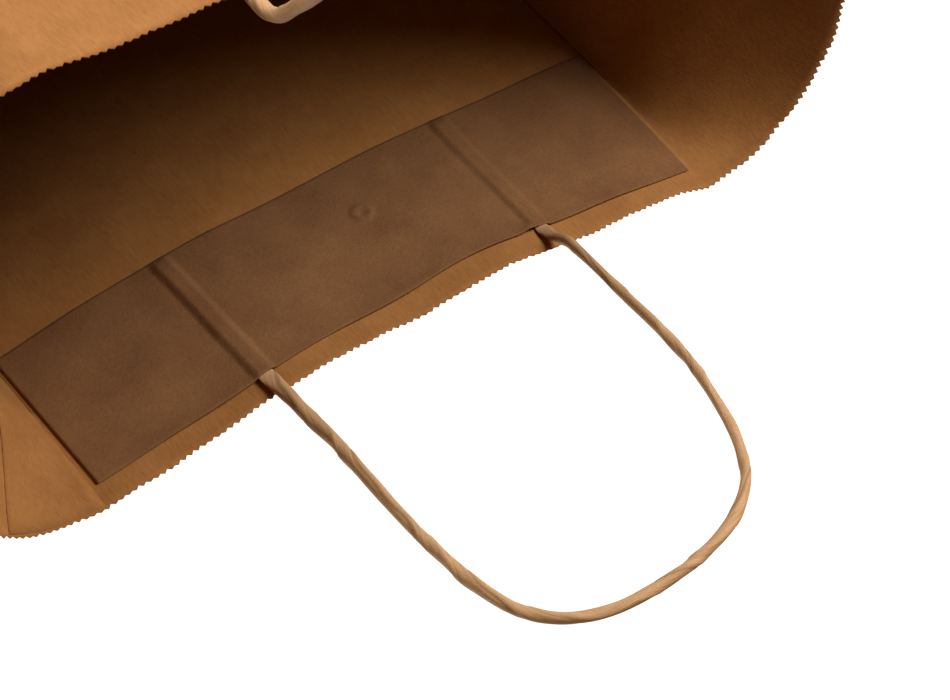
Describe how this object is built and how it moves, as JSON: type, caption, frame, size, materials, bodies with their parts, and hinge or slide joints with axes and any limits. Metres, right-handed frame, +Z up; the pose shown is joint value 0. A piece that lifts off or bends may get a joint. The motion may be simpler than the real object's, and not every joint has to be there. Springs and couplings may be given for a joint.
{
  "type": "gift bag",
  "caption": "Open brown kraft paper carrier bag with a block bottom, saw-cut mouth and twisted paper cord handles glued between paper strips inside.",
  "frame": {"origin": "centre of the base, on the surface the bag stands on", "axes": "+Z up through the mouth, +X across the broad walls, +Y from the front wall to the back wall"},
  "size_m": [0.2964, 0.2287, 0.3868],
  "materials": {
    "kraft_paper": "matt",
    "patch_paper": "matt",
    "cord_paper": "matt"
  },
  "bodies": {
    "bag": {"front_wall": "kraft_paper", "back_wall": "kraft_paper", "left_gusset_front_leaf": "kraft_paper", "left_gusset_back_leaf": "kraft_paper", "right_gusset_front_leaf": "kraft_paper", "right_gusset_back_leaf": "kraft_paper", "side_seam_tab": "kraft_paper", "bottom_outer_flap": "kraft_paper", "bottom_inner_flap": "kraft_paper", "bottom_left_tuck": "kraft_paper", "bottom_right_tuck": "kraft_paper", "back_handle_cover_strip": "patch_paper", "back_handle_backing_strip": "patch_paper", "front_handle_cover_strip": "patch_paper", "front_handle_backing_strip": "patch_paper", "back_cord_left_leg": "cord_paper", "back_cord_right_leg": "cord_paper", "front_cord_left_leg": "cord_paper", "front_cord_right_leg": "cord_paper"},
    "back_handle": {"back_handle_loop": "cord_paper"},
    "front_handle": {"front_handle_loop": "cord_paper"}
  },
  "joints": [
    {"name": "back_handle_swing", "type": "hinge", "parent": "bag", "child": "back_handle", "pos_m": [0, 0.06949, 0.283], "axis": [1, 0, 0], "range_deg": [-140, 150]},
    {"name": "front_handle_swing", "type": "hinge", "parent": "bag", "child": "front_handle", "pos_m": [0, -0.06949, 0.283], "axis": [1, 0, 0], "range_deg": [-178, 90]}
  ]
}
